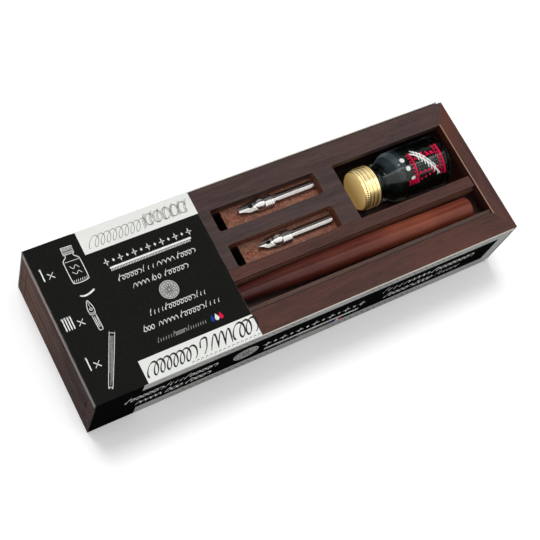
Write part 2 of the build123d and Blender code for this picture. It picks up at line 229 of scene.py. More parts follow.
def buildBlockMask():
    group, given = startGroup("blockMask", Low=(0.0, 0.0, 0.0), High=(1.0, 1.0, 1.0))
    over = split(shift("SUBTRACT", given["Vector"], given["Low"]))
    least = over[0]
    for side in over[1:] + split(shift("SUBTRACT", given["High"], given["Vector"])):
        least = calc("MINIMUM", least, side)
    return closeGroup(group, Mask=eased(least, -0.00004, 0.00004))


boardGrain = buildBoardGrain()
rubbedEdge = buildRubbedEdge()
milledFibre = buildMilledFibre()
brushedTrace = buildBrushedTrace()
blockMask = buildBlockMask()
print("shared effects built")


# Stained boards. One recipe, with its own tone, grain way and offset for each board.
stainLook = {
    "fibre": 1900.0, "stretch": 16.0, "pores": 0.55, "roughness": 0.46, "bump": 0.3, "bumpDepth": 0.00006,
    "edgeTone": tone(.26, .13, .085), "edgeRadius": 0.0003, "edgePatchiness": 0.75,
    "edgeShare": 0.5, "edgeShares": {"right_rail": 1.0, "long_divider": 0.8, "back_rail": 0.7},
    "sheen": 0.4, "sheens": {"ends": 0.0},
}
stainTones = {  # dark, middle and warm streaks
    "grey": ((.032, .017, .015), (.066, .038, .036), (.088, .036, .028)),
    "tray": ((.029, .015, .013), (.059, .033, .031), (.080, .032, .024)),
    "red": ((.037, .012, .008), (.078, .027, .019), (.108, .030, .018)),
    "inside": ((.018, .007, .005), (.042, .018, .012), (.060, .022, .014)),
    "ends": ((.030, .017, .016), (.062, .038, .034), (.080, .038, .030)),
    "lining": ((.035, .018, .013), (.085, .046, .034), (.12, .055, .036)),
}
# The sawn end faces on the left are lifted paler than the planed sides, most of all at the back: painted
# light on the end faces.
sawnLook = {
    "face": -0.1079, "depth": 0.0004, "backPaintedLight": tone(2.9, 3.3, 3.2), "frontPaintedLight": tone(1.7, 2.1, 2.25),
    "back": 0.025, "front": -0.030, "joints": (-0.0307, 0.0303), "jointHalf": 0.00028, "jointShare": 0.7,
    "jointTone": tone(.012, .007, .006), "knot": (-0.108, -0.0304, 0.0208), "knotRadius": 0.0013,
}
# Bands along a board: axis, from, to (mm), way the face looks, colour. They hold a seam line, a painted
# shadow, painted light on a face and a painted highlight on an arris.
seamAndLightBands = {
    # Painted shadow on the lining along the step down from the front rail.
    "channel_lining": [(1, -24.45, -24.65, "z", tone(.010, .005, .004))],
    # Painted light on the divider's front face above the pen, and a dark seam line under its top arris.
    "long_divider": [(2, 27.0, 29.5, "-y", tone(.42, .20, .14)),
                     (2, 35.1, 35.4, "-y", tone(.012, .005, .004))],
    # Painted highlight: a pale line along the right rail's inner arris.
    "right_rail": [(0, 101.0, 100.8, "z", tone(.40, .22, .14))],
}
boardPlan = {  # node: tone, way of the grain, warmth, offset of the grain
    "back_rail": ("grey", "x", 0.25, (0.0, 0.11, 0.0)),
    "left_rail": ("grey", "y", 0.25, (0.1, 0.31, 0.0)),
    "right_rail": ("red", "y", 0.75, (0.2, 0.17, 0.0)),
    "front_rail": ("red", "x", 0.45, (0.3, 0.05, 0.0)),
    "front_wall": ("ends", "x", 0.4, (0.4, 0.0, 0.2)),
    "back_wall": ("ends", "x", 0.4, (0.5, 0.0, 0.4)),
    "left_wall": ("ends", "y", 0.3, (0.6, 0.0, 0.1)),
    "right_wall": ("red", "y", 0.5, (0.7, 0.0, 0.3)),
    "base_panel": ("inside", "x", 0.3, (0.8, 0.0, 0.0)),
    "long_divider": ("red", "x", 0.3, (0.9, 0.4, 0.0)),
    "nib_tray_bearers": ("inside", "y", 0.3, (1.0, 0.0, 0.0)),
    "bay_partition": ("inside", "y", 0.3, (1.1, 0.0, 0.0)),
    "bottle_bed": ("inside", "x", 0.3, (1.2, 0.0, 0.0)),
    "pen_bed": ("inside", "x", 0.3, (1.3, 0.0, 0.0)),
    "pen_bed_bearers": ("inside", "y", 0.3, (1.4, 0.0, 0.0)),
    "channel_lining": ("lining", "x", 0.4, (1.5, 0.0, 0.0)),
}
arrisLook = {"width": 0.00016, "segments": 2, "weld": 0.000002, "corner": 40.0}


def grained(place, offset, tones, warmth, look):
    dark, middle, warm = [tone(*shade) for shade in tones]
    return useGroup(boardGrain, Vector=shift("ADD", place, offset), Fibre=look["fibre"], Pores=look["pores"],
                    Stretch=look["stretch"], Dark=dark, Mid=middle, Warm=warm, Warmth=warmth)


def seamsAndPaintedLight(place, color, bands):
    axes, facing = split(place), split(faceWay(place.tree, "True Normal"))
    for axis, start, end, way, bandTone in bands:
        turned = eased(facing[1], -0.6, -0.9) if way == "-y" else eased(facing[2], 0.6, 0.9)
        color = mixed(turned * eased(axes[axis], start * mm, end * mm), color, bandTone)
    return color


def sawnEnd(place, color):
    look = sawnLook
    x, y, z = split(place)
    sawn = eased(x, look["face"] + look["depth"], look["face"])
    # Painted light: the end faces are lifted paler, more at the back than at the front.
    lift = mixed(eased(y, look["back"], look["front"]), look["backPaintedLight"], look["frontPaintedLight"])
    color = mixed(sawn, color, mixed(1.0, color, lift, "MULTIPLY"))
    for joint in look["joints"]:
        line = eased(abs(y - joint), look["jointHalf"], look["jointHalf"] * 0.4, 0.0, look["jointShare"])
        color = mixed(sawn * line, color, look["jointTone"])
    reach = run("VectorMath", {0: place, 1: look["knot"]}, "Value", operation="DISTANCE")
    return mixed(eased(reach, look["knotRadius"], look["knotRadius"] * 0.5), color, look["jointTone"])


def stainedWood(board, shade, grainWay, warmth, offset):
    look = stainLook
    material, skin, place = startMaterial(board + "Stain")
    turned = place
    if grainWay == "y":
        x, y, z = split(place)
        turned = run("CombineXYZ", {0: y, 1: x, 2: z})
    grain = grained(turned, offset, stainTones[shade], warmth, look)
    rub = useGroup(rubbedEdge, Vector=place, Radius=look["edgeRadius"], Patchiness=look["edgePatchiness"])
    color = sawnEnd(place, seamsAndPaintedLight(place, grain["Color"], seamAndLightBands.get(board, [])))
    color = mixed(rub["Mask"] * look["edgeShares"].get(board, look["edgeShare"]), color, look["edgeTone"])
    feed(skin, Base_Color=color, Roughness=grain["Gloss"] + look["roughness"],
         Normal=bumped(grain["Height"], look["bump"], look["bumpDepth"]),
         Specular_IOR_Level=look["sheens"].get(shade, look["sheen"]))
    return material


def softenArris(node):
    node.modifiers.new("joined", "WELD").merge_threshold = arrisLook["weld"]
    arris = node.modifiers.new("arris", "BEVEL")
    arris.width = arrisLook["width"]
    arris.segments = arrisLook["segments"]
    arris.limit_method = "ANGLE"
    arris.angle_limit = math.radians(arrisLook["corner"])
    arris.harden_normals = False


for board, plan in boardPlan.items():
    dress(board, stainedWood(board, *plan))
    softenArris(nodes[board])
print("boards stained")


# Nib tray: sanded on top, rough from the cutter in the slots, and painted shade turns the finger wells black.
trayLook = {
    "deep": tone(.050, .015, .008), "bare": tone(.26, .076, .036), "pale": tone(.55, .33, .24),
    "paleShare": 1.0, "bump": 0.8, "bumpDepth": 0.00025, "roughness": 0.62, "rimDrop": 0.0005,
    "offset": (1.7, 0.2, 0.0), "warmth": 0.2, "topBump": 0.12, "edgeRadius": 0.0003,
    "edgePatchiness": 0.6, "edgeShare": 0.55, "wellTop": 0.0309, "wellDark": 0.0303,
    "wellPaintedShade": tone(.003, .0015, .001),
}


def millWood(name, rimHeight):
    look = trayLook
    material, skin, place = startMaterial(name)
    grain = grained(place, look["offset"], stainTones["tray"], look["warmth"], stainLook)
    milled = useGroup(milledFibre, Vector=place, Deep=look["deep"], Bare=look["bare"], Pale=look["pale"],
                      PaleShare=look["paleShare"])
    rub = useGroup(rubbedEdge, Vector=place, Radius=look["edgeRadius"], Patchiness=look["edgePatchiness"])
    height = split(place)[2]
    sunken = eased(height, rimHeight - look["rimDrop"] * 0.3, rimHeight - look["rimDrop"])
    color = mixed(sunken, grain["Color"], milled["Color"])
    color = mixed(rub["Mask"] * look["edgeShare"], color, stainLook["edgeTone"])
    # Painted shade: below the slot floor the finger wells go black.
    color = mixed(eased(height, look["wellTop"], look["wellDark"]), color, look["wellPaintedShade"])
    lift = blended(sunken, grain["Height"] * look["topBump"], milled["Height"])
    feed(skin, Base_Color=color, Normal=bumped(lift, look["bump"], look["bumpDepth"]),
         Roughness=blended(sunken, grain["Gloss"] + stainLook["roughness"], look["roughness"]))
    return material


milledTray = millWood("milledTray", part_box("nib_tray")[1].z)
dress("nib_tray", milledTray)
softenArris(nodes["nib_tray"])


# Mesh helpers

def wrapRows(shape, rows, closed=False):
    grid = [[shape.verts.new(point) for point in row] for row in rows]
    count = len(grid[0])
    for r in range(len(grid) if closed else len(grid) - 1):
        upper, lower = grid[r], grid[(r + 1) % len(grid)]
        for c in range(count):
            right = (c + 1) % count
            shape.faces.new((upper[c], upper[right], lower[right], lower[c]))
    if not closed:
        shape.faces.new(grid[0])
        shape.faces.new(list(reversed(grid[-1])))
    return shape


def finishMesh(shape, name, material, body, smooth=True, replaced=()):
    bmesh.ops.recalc_face_normals(shape, faces=shape.faces)
    mesh = bpy.data.meshes.new(name)
    shape.to_mesh(mesh)
    shape.free()
    mesh.transform(Matrix.Scale(mm, 4))
    mesh.materials.append(material)
    for face in mesh.polygons:
        face.use_smooth = smooth
    piece = bpy.data.objects.new(name, mesh)
    bpy.context.scene.collection.objects.link(piece)
    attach(piece, body)
    if replaced:
        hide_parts(*replaced)


def ringAngles(count):
    return [2 * math.pi * n / count for n in range(count)]


def oval(u, v, wide, tall, lean=0.0, count=24):
    return [(u + wide * math.cos(angle) + lean * tall * math.sin(angle), v + tall * math.sin(angle))
            for angle in ringAngles(count)]


# Slot floors: a cut surface with torn fibres and the cutter's arcs near the ends.
slotLook = {
    "length": 54.0, "width": 11.0, "well": 6.2, "step": 0.3, "side": 0.12, "height": 0.12,
    "floor": 31.05, "starts": (-90.4, -25.4), "fronts": (-4.2, 13.8), "sunk": 0.03,
    "arcPitch": 1.3, "arcCentre": 9.0, "arcOval": 1.4, "arcReach": 16.0, "arcs": 0.3,
    "level": 0.42, "torn": 0.28, "fuzz": 0.22,
}


def floorHeight(x, y, startX):
    look = slotLook
    reach = math.hypot(x - startX - look["arcCentre"], (y - look["width"] / 2) * look["arcOval"])
    arcs = 0.5 + 0.5 * math.sin(reach * 2 * math.pi / look["arcPitch"])
    nearEnd = max(0.0, 1.0 - (x - startX) / look["arcReach"])
    torn = noise.fractal(Vector((x * 0.9, y * 3.2, startX)), 0.7, 2.1, 4)
    fuzz = noise.noise(Vector((x * 4.5, y * 4.5, 3.0)))
    level = look["level"] + look["torn"] * torn + look["fuzz"] * fuzz + look["arcs"] * nearEnd * (arcs - 0.5)
    return look["height"] * min(1.0, max(0.0, level))


def slotFloor(startX, frontY):
    look = slotLook
    x0, x1 = startX + look["well"] + look["side"], startX + look["length"] - look["side"]
    y0, y1 = look["side"], look["width"] - look["side"]
    columns = round((x1 - x0) / look["step"])
    lanes = round((y1 - y0) / look["step"])
    low = look["floor"] - look["sunk"]
    rows = []
    for i in range(columns + 1):
        x = x0 + (x1 - x0) * i / columns
        row = [(x, frontY + y0, low)]
        for j in range(lanes + 1):
            y = y0 + (y1 - y0) * j / lanes
            row.append((x, frontY + y, look["floor"] + floorHeight(x, y, startX)))
        rows.append(row + [(x, frontY + y1, low)])
    return wrapRows(bmesh.new(), rows)


slotCorners = [(startX, frontY) for startX in slotLook["starts"] for frontY in slotLook["fronts"]]
for number, corner in enumerate(slotCorners):
    finishMesh(slotFloor(*corner), "slotFloor" + str(number), milledTray, "tray")
print("slot floors cut")


# Penholder: close-grained wood under a clear polish, darker towards the tail.
holderLook = {
    "tones": ((.105, .018, .010), (.20, .042, .021), (.37, .098, .042)),
    "fibre": 1500.0, "stretch": 26.0, "pores": 0.25, "warmth": 0.6, "offset": (2.1, 0.0, 0.1),
    "tailTone": tone(.034, .0055, .005), "tailShare": 0.95, "fadeFromButt": 0.01, "fadeToTail": 0.03,
    "bump": 0.12, "bumpDepth": 0.00004, "roughness": 0.42, "sheen": 0.2, "coat": 0.2, "coatRoughness": 0.14,
}


def polishedWood(name, tailX, buttX):
    look = holderLook
    material, skin, place = startMaterial(name)
    grain = grained(place, look["offset"], look["tones"], look["warmth"], look)
    along = split(place)[0]
    tail = eased(along, buttX + look["fadeFromButt"], tailX + look["fadeToTail"], 0.0, look["tailShare"])
    feed(skin, Base_Color=mixed(tail, grain["Color"], look["tailTone"]),
         Roughness=grain["Gloss"] + look["roughness"], Specular_IOR_Level=look["sheen"],
         Normal=bumped(grain["Height"], look["bump"], look["bumpDepth"]),
         Coat_Weight=look["coat"], Coat_Roughness=look["coatRoughness"])
    return material


holderLow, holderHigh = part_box("penholder")
dress("penholder", polishedWood("polishedHolder", holderLow.x, holderHigh.x))


# Metals
metalPlan = {  # name: colour, roughness, amount of scratches, way of the scratches, tarnish, metallic
    "nibChrome": (tone(.50, .475, .455), 0.2, 0.10, (0.1, 1.0, 1.0), 0.25, 1.0),
    "reservoirSatin": (tone(.68, .66, .64), 0.24, 0.08, (1.0, 1.0, 1.0), 0.12, 1.0),
    "ferruleSteel": (tone(.62, .61, .60), 0.28, 0.2, (0.1, 1.0, 1.0), 0.3, 1.0),
    "bradSteel": (tone(.42, .40, .38), 0.4, 0.2, (1.0, 1.0, 1.0), 0.3, 1.0),
    "giltBrass": (tone(1.0, .74, .33), 0.2, 0.05, (1.0, 0.3, 0.3), 0.06, 0.7),
}
tarnishLook = {"shares": (0.7, 0.62, 0.5), "patch": 340, "scratchBump": 0.4, "scratchDepth": 0.00002}
# The gilt cap has painted shade at the foot of each rolled bead. A painted highlight glows along the crest of
# the side wall, and a painted glow on the closed end is paler towards its upper edge.
giltLook = {
    "grooves": (0.0520, 0.05325, 0.05525, 0.05745), "half": 0.0003, "share": 0.85,
    "grooveShadeTone": tone(.24, .12, .03), "lidLow": 0.019, "lidHigh": 0.031, "lidGlowLow": tone(.20, .12, .035),
    "lidGlowHigh": tone(.42, .29, .11), "crestHighlightTone": tone(.62, .54, .30),
}


def paintGiltLight(place, skin, worn):
    look = giltLook
    x, y, z = split(place)
    facing = split(faceWay(place.tree))
    lid = eased(facing[0], -0.4, -0.9)
    # Painted shade at the foot of each rolled bead.
    paintedGrooveShade = 0.0
    for spot in look["grooves"]:
        line = eased(abs(x - spot), look["half"], look["half"] * 0.3, 0.0, look["share"])
        paintedGrooveShade = calc("MAXIMUM", paintedGrooveShade, line)
    paintedGrooveShade = paintedGrooveShade * (1.0 - lid)
    # Painted highlight along the crest, laid in as emission.
    crest = eased(facing[2], 0.55, 0.95) * (1.0 - paintedGrooveShade)
    sheen = mixed(crest, tone(0, 0, 0), look["crestHighlightTone"])
    # Painted glow on the closed end, paler towards its upper edge.
    lidPaintedGlow = mixed(eased(z, look["lidLow"], look["lidHigh"]), look["lidGlowLow"], look["lidGlowHigh"])
    feed(skin, Emission_Color=mixed(lid, sheen, lidPaintedGlow), Emission_Strength=1.0)
    return mixed(paintedGrooveShade, worn, look["grooveShadeTone"])


def plainMetal(name):
    color, roughness, amount, spread, dull, metallic = metalPlan[name]
    look = tarnishLook
    material, skin, place = startMaterial(name)
    trace = useGroup(brushedTrace, Vector=place, Spread=spread, Roughness=roughness, Amount=amount)
    dark = tone(*[part * share for part, share in zip(color, look["shares"])])
    worn = mixed(eased(cloud(place, look["patch"], 3), 0.5, 0.8, 0.0, dull), color, dark)
    if name == "giltBrass":
        worn = paintGiltLight(place, skin, worn)
    feed(skin, Base_Color=worn, Metallic=metallic, Roughness=trace["Roughness"],
         Normal=bumped(trace["Height"], amount * look["scratchBump"], look["scratchDepth"]))
    return material


metals = {name: plainMetal(name) for name in metalPlan}
nibNames = ("pointed_nib", "broad_nib", "medium_nib", "fine_nib")
for name in nibNames:
    dress(name, metals["nibChrome"])
    dress(name + "_reservoir", metals["reservoirSatin"])
dress("nib_ferrule", metals["ferruleSteel"])
dress("corner_brads", metals["bradSteel"])


# Glass, ink and liner. The glass glows with painted glints along its outline and in the neck, and a painted
# smoky reflection in the air over the ink.
glassLook = {
    "tint": tone(.90, .97, .93), "ior": 1.32, "roughness": 0.02, "smear": 0.05, "ripple": 0.05,
    "rippleDepth": 0.0004, "glow": 0.45, "neckGlint": tone(.80, .84, .45), "edgeGlint": tone(.26, .31, .30),
    "smokyReflection": tone(.050, .064, .074), "neckEnd": 0.0655, "neckFade": 0.0675, "reflectionStart": 0.0650,
    "reflectionEnd": 0.0765, "reflectionSide": 0.0105, "reflectionFade": 0.0135,
}
inkLook = {"deep": tone(.003, .006, .005), "pale": tone(.007, .013, .011), "roughness": 0.08, "sheen": 0.15}
foamLook = {"deep": tone(.62, .60, .56), "pale": tone(.80, .79, .76), "roughness": 0.8, "cells": 2600}


def bottleGlass(name):
    look = glassLook
    material, skin, place = startMaterial(name)
    x, y, z = split(place)
    smear = eased(cloud(place, 180, 3), 0.45, 0.75, 0.0, look["smear"])
    outline = Wire(place.tree, put(place.tree, "LayerWeight", {"Blend": 0.3}).outputs["Facing"])
    lit = eased(outline, 0.62, 0.95) * eased(cloud(place, 420, 2), 0.42, 0.62, 0.15, 1.0)
    edge = mixed(eased(x, look["neckFade"], look["neckEnd"]), look["edgeGlint"], look["neckGlint"])
    paintedReflection = eased(x, look["reflectionStart"], look["reflectionStart"] + 0.002)
    paintedReflection = paintedReflection * eased(x, look["reflectionEnd"], look["reflectionEnd"] - 0.003)
    paintedReflection = paintedReflection * eased(y, look["reflectionSide"], look["reflectionFade"])
    paintedReflection = paintedReflection * eased(cloud(place, 150, 3), 0.3, 0.6, 0.5, 1.0)
    feed(skin, Base_Color=look["tint"], Roughness=smear + look["roughness"], IOR=look["ior"],
         Transmission_Weight=1.0, Normal=bumped(cloud(place, 130, 1), look["ripple"], look["rippleDepth"]),
         # Emission paints the glints and the smoky reflection.
         Emission_Color=mixed(lit, mixed(paintedReflection, tone(0, 0, 0), look["smokyReflection"]), edge),
         Emission_Strength=look["glow"])
    return material


def blackInk(name):
    material, skin, place = startMaterial(name)
    feed(skin, Base_Color=mixed(eased(cloud(place, 90, 2), 0.3, 0.7), inkLook["deep"], inkLook["pale"]),
         Roughness=inkLook["roughness"], Specular_IOR_Level=inkLook["sheen"])
    return material


def linerFoam(name):
    material, skin, place = startMaterial(name)
    cells = cloud(place, foamLook["cells"], 2)
    feed(skin, Base_Color=mixed(eased(cells, 0.3, 0.7), foamLook["deep"], foamLook["pale"]),
         Roughness=foamLook["roughness"], Normal=bumped(cells, 0.3, 0.00005))
    return material


inkBlack = blackInk("inkBlack")
dress("glass_bottle", bottleGlass("bottleGlass"))
dress("cap_liner", linerFoam("linerFoam"))
dress("ink", inkBlack)

# Ink that wets the glass: the cavity's outline a touch larger, flat where the bottle's air lies on it.
bottleLook = {
    "mouthX": 51.5, "axisY": 14.1, "axisZ": 21.45, "mouthRadius": 5.7, "shoulderStart": 14.6,
    "shoulderEnd": 20.4, "bodyRadius": 10.8, "floor": 45.1, "wetting": 0.03, "airHeight": 0.45,
    "around": 96, "top": 0.4, "rounding": 2.0, "centre": 0.02,
}


def onBottle(x, radius, angle):
    return (bottleLook["mouthX"] + x, bottleLook["axisY"] + radius * math.sin(angle),
            bottleLook["axisZ"] + radius * math.cos(angle))


def smoothOutline(points, rounding, steps=6):
    line = [Vector(points[0])]
    for before, corner, after in zip(points, points[1:], points[2:]):
        corner = Vector(corner)
        inward, outward = Vector(before) - corner, Vector(after) - corner
        reach = min(rounding, inward.length * 0.45, outward.length * 0.45)
        start, end = corner + inward.normalized() * reach, corner + outward.normalized() * reach
        for n in range(steps + 1):
            t = n / steps
            line.append(start.lerp(corner, t).lerp(corner.lerp(end, t), t))
    return line + [Vector(points[-1])]


def inkBody():
    look = bottleLook
    mouth, body = look["mouthRadius"] + look["wetting"], look["bodyRadius"] + look["wetting"]
    floor = look["floor"] + look["wetting"]
    outline = smoothOutline([
        (look["top"], look["centre"]), (look["top"], mouth), (look["shoulderStart"], mouth),
        (look["shoulderEnd"], body), (floor, body), (floor, look["centre"]),
    ], look["rounding"])
    level = look["axisZ"] + look["bodyRadius"] - look["airHeight"]
    rows = []
    for x, radius in outline:
        ring = [onBottle(x, radius, angle) for angle in ringAngles(look["around"])]
        rows.append([(px, py, min(pz, level)) for px, py, pz in ring])
    finishMesh(wrapRows(bmesh.new(), rows), "inkBody", inkBlack, "bottle", replaced=("ink",))


inkBody()
print("bottle filled")


# Screw cap: spun shell with knurled shoulder, two rolled beads, curled lip and a pressed thread inside.
capLook = {
    "top": -1.6, "radius": 9.9, "wall": 0.45, "height": 9.3, "topThickness": 0.6, "edge": 2.8, "around": 288,
    "edgeSteps": 8, "wallSteps": 84, "centre": 0.05,
    "knurlStart": 0.9, "knurlEnd": 2.9, "knurlFade": 0.35, "knurlCount": 60, "knurlDepth": 0.3,
    "beads": ((4.3, 0.42, 0.7), (6.4, 0.42, 0.75), (8.75, 0.4, 0.6)), "beadShape": 1.4,
    "threadStart": 3.25, "threadPitch": 2.5, "threadTurns": 1.6, "threadHeight": 0.85, "threadSteps": 96,
    "threadRoot": 0.5, "threadCrest": 0.22, "threadSunk": 0.1, "threadFade": 12,
}


def capRadius(x):
    edge = capLook["edge"]
    radius = capLook["radius"]
    if x < edge:
        radius -= edge - math.sqrt(max(0.0, edge ** 2 - (edge - x) ** 2))
    for place, height, width in capLook["beads"]:
        away = abs(x - place) / width
        if away < 1:
            radius += height * math.cos(away * math.pi / 2) ** capLook["beadShape"]
    return radius


def screwCapShell():
    look = capLook
    edge, height, top = look["edge"], look["height"], look["topThickness"]
    inner = look["radius"] - look["wall"]
    angles = ringAngles(look["around"])
    stops = [edge * (1 - math.cos(n / look["edgeSteps"] * math.pi / 2)) for n in range(look["edgeSteps"] + 1)]
    stops += [edge + (height - edge) * n / look["wallSteps"] for n in range(1, look["wallSteps"] + 1)]
    rows = [[onBottle(look["top"], look["centre"], angle) for angle in angles]]
    for x in stops:
        grip = min(x - look["knurlStart"], look["knurlEnd"] - x) / look["knurlFade"]
        grip = look["knurlDepth"] * min(1.0, max(0.0, grip))
        rows.append([])
        for angle in angles:
            rib = abs(math.cos(angle * look["knurlCount"] / 2)) - 0.5
            rows[-1].append(onBottle(look["top"] + x, capRadius(x) + grip * rib, angle))
    inside = ((height - 0.02, inner + 0.2), (height - 0.2, inner), (top + 0.4, inner), (top, inner - 0.4),
              (top, look["centre"]))
    for x, radius in inside:
        rows.append([onBottle(look["top"] + x, radius, angle) for angle in angles])
    finishMesh(wrapRows(bmesh.new(), rows), "screwCapShell", metals["giltBrass"], "cap",
               replaced=("screw_cap",))


def capThread():
    look = capLook
    inner = look["radius"] - look["wall"]
    root, crest, sunk = look["threadRoot"], look["threadCrest"], look["threadSunk"]
    rows = []
    for n in range(look["threadSteps"] + 1):
        share = n / look["threadSteps"]
        angle = -2 * math.pi * look["threadTurns"] * share
        x = look["threadStart"] + look["threadPitch"] * look["threadTurns"] * (1 - share)
        height = look["threadHeight"] * min(1.0, look["threadFade"] * min(share, 1 - share))
        section = ((-root, -sunk), (-crest, height), (crest, height), (root, -sunk))
        rows.append([onBottle(x + offset, inner - depth, angle) for offset, depth in section])
    finishMesh(wrapRows(bmesh.new(), rows), "capThread", metals["giltBrass"], "cap")


screwCapShell()
capThread()
print("cap spun")


# Pressed ribs on each reservoir, cross lines on each shank and a black plate of painted shade in each vent.
nibLook = {
    "bodyRadius": 3.7, "shankRadius": 2.55, "reservoirTop": 0.31,
    "ribs": (14.6, 15.7, 16.8), "ribRadius": 0.28, "ribHalf": 46.0,
    "lineStart": 21.6, "lineCount": 34, "linePitch": 0.5, "lineRadius": 0.05, "lineHalf": 55.0,
    "lineSlant": 0.6,
}
ventLook = {"place": 6.15, "long": 1.25, "wide": 0.82, "sink": -0.03, "thick": 0.2}


def nibSpot(name):
    low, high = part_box(name)
    return low.x / mm, (low.y + high.y) / 2 / mm, high.z / mm


def archBar(shape, x, y, crestZ, bend, rise, halfAngle, thickness, slant=0.0, sides=6, steps=14):
    rows = []
    for n in range(steps + 1):
        share = 2 * n / steps - 1
        angle = math.radians(halfAngle) * share
        half = thickness * math.sqrt(max(0.04, 1 - share ** 8))
        rows.append([])
        for turn in ringAngles(sides):
            reach = bend + rise + half * math.cos(turn)
            rows[-1].append((x + slant * share + half * math.sin(turn) * 1.1, y + reach * math.sin(angle),
                             crestZ - bend + reach * math.cos(angle)))
    wrapRows(shape, rows)


for name in nibNames:
    look = nibLook
    tipX, middleY, crestZ = nibSpot(name)
    shape = bmesh.new()
    for place in look["ribs"]:
        archBar(shape, tipX + place, middleY, crestZ, look["bodyRadius"], look["reservoirTop"],
                look["ribHalf"], look["ribRadius"])
    finishMesh(shape, name + "_reservoirRibs", metals["reservoirSatin"], name + "_reservoir")
    shape = bmesh.new()
    for n in range(look["lineCount"]):
        place = look["lineStart"] + look["linePitch"] * n
        archBar(shape, tipX + place, middleY, crestZ, look["shankRadius"], 0.0, look["lineHalf"],
                look["lineRadius"], look["lineSlant"], sides=5, steps=10)
    finishMesh(shape, name + "_shankLines", metals["nibChrome"], name)
# Painted shade: a black plate fills each vent hole.
ventShade = blackInk("ventShade")
for name in nibNames:
    look = ventLook
    tipX, middleY, crestZ = nibSpot(name)
    dots = oval(tipX + look["place"], middleY, look["long"], look["wide"])
    levels = (look["sink"], look["sink"] + look["thick"])
    rows = [[(u, v, crestZ - level) for u, v in dots] for level in levels]
    finishMesh(wrapRows(bmesh.new(), rows), name + "_ventShade", ventShade, name)
print("nibs pressed")


# Card sleeve: printed outside, bare card inside, dark on its cut edges.
sleeveLow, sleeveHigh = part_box("sleeve")
cardLook = {
    "black": tone(.0105, .0105, .0095), "blackFleck": tone(.022, .022, .020),
    "shadedSideBlack": tone(.0045, .0045, .0045), "white": tone(.80, .81, .775), "whiteHaze": tone(.74, .755, .72),
    "shadedWhite": tone(.48, .485, .475), "bare": tone(.60, .57, .50), "bareFleck": tone(.48, .44, .37),
    "cutTone": tone(.045, .045, .043), "foldTone": tone(.45, .44, .42), "foldRadius": 0.0005,
    "foldPatchiness": 0.85, "foldShare": 0.35, "skin": 0.0002, "skinHalf": 0.00002,
    "blackRoughness": 0.6, "bareRoughness": 0.85, "sheen": 0.0,
    "stripStart": 23.6, "frontStripStart": 21.6, "topFrontStrip": 10.6, "topBackStrip": 62.0,
    "bandLow": 8.6, "bandHigh": 30.6, "bandEnd": 207.6, "reach": 0.0003, "far": 1.0,
}


def whiteAreas(place):
    look = cardLook
    startX, startY, topZ, far = sleeveLow.x, sleeveLow.y, sleeveHigh.z, look["far"]
    strip, side = startX + look["stripStart"] * mm, startX + look["frontStripStart"] * mm
    frontY, backY, cardZ = startY + look["reach"], sleeveHigh.y - look["reach"], topZ - look["reach"]
    low, high = look["bandLow"] * mm, look["bandHigh"] * mm
    blocks = [  # the strips on the top panel, on the front panel, its right end, and on the back panel
        ((strip, -far, cardZ), (far, startY + look["topFrontStrip"] * mm, far)),
        ((strip, startY + look["topBackStrip"] * mm, cardZ), (far, far, far)),
        ((side, -far, -far), (far, frontY, low)),
        ((side, -far, high), (far, frontY, topZ - 0.0001)),
        ((startX + look["bandEnd"] * mm, -far, -far), (far, frontY, far)),
        ((side, backY, -far), (far, far, low)),
        ((side, backY, high), (far, far, far)),
    ]
    white = 0.0
    for corner, opposite in blocks:
        white = calc("MAXIMUM", useGroup(blockMask, Vector=place, Low=corner, High=opposite)["Mask"], white)
    return white


def printedCard(name):
    look = cardLook
    material, skin, place = startMaterial(name)
    x, y, z = split(place)
    facing = split(faceWay(place.tree))
    halfWidth = (sleeveHigh.y - sleeveLow.y) / 2
    halfHeight = (sleeveHigh.z - sleeveLow.z) / 2
    over = calc("MAXIMUM", abs(y) - halfWidth, abs(z - halfHeight) - halfHeight)
    outside = eased(over, -look["skin"] - look["skinHalf"], -look["skin"] + look["skinHalf"])
    cutEnd = eased(abs(facing[0]), 0.6, 0.9)
    belowTop = eased(z, sleeveHigh.z - 0.0002, sleeveHigh.z - 0.00025)
    unprinted = calc("MAXIMUM", cutEnd, belowTop * eased(facing[2], 0.8, 0.95))
    side = eased(abs(facing[1]), 0.5, 0.9)
    fleck = cloud(place, 1800, 3, 0.6)
    white = mixed(eased(cloud(place, 60, 3, 0.6), 0.35, 0.7, 0.0, 0.5), look["white"], look["whiteHaze"])
    black = mixed(eased(fleck, 0.4, 0.75, 0.0, 0.5), look["black"], look["blackFleck"])
    # Painted shade: the side panels get a darker black and a greyer white than the top.
    black, white = mixed(side, black, look["shadedSideBlack"]), mixed(side, white, look["shadedWhite"])
    ink = mixed(whiteAreas(place), black, white)
    rub = useGroup(rubbedEdge, Vector=place, Radius=look["foldRadius"], Patchiness=look["foldPatchiness"])
    ink = mixed(rub["Mask"] * look["foldShare"], ink, look["foldTone"])
    bare = mixed(eased(fleck, 0.35, 0.7, 0.0, 0.4), look["bare"], look["bareFleck"])
    printed = outside * (1.0 - unprinted)
    feed(skin, Base_Color=mixed(printed, mixed(cutEnd, bare, look["cutTone"]), ink),
         Roughness=blended(printed, look["bareRoughness"], look["blackRoughness"]),
         Normal=bumped(fleck, 0.1, 0.00003), Specular_IOR_Level=look["sheen"])
    return material


dress("sleeve", printedCard("printedCard"))
print("sleeve printed")


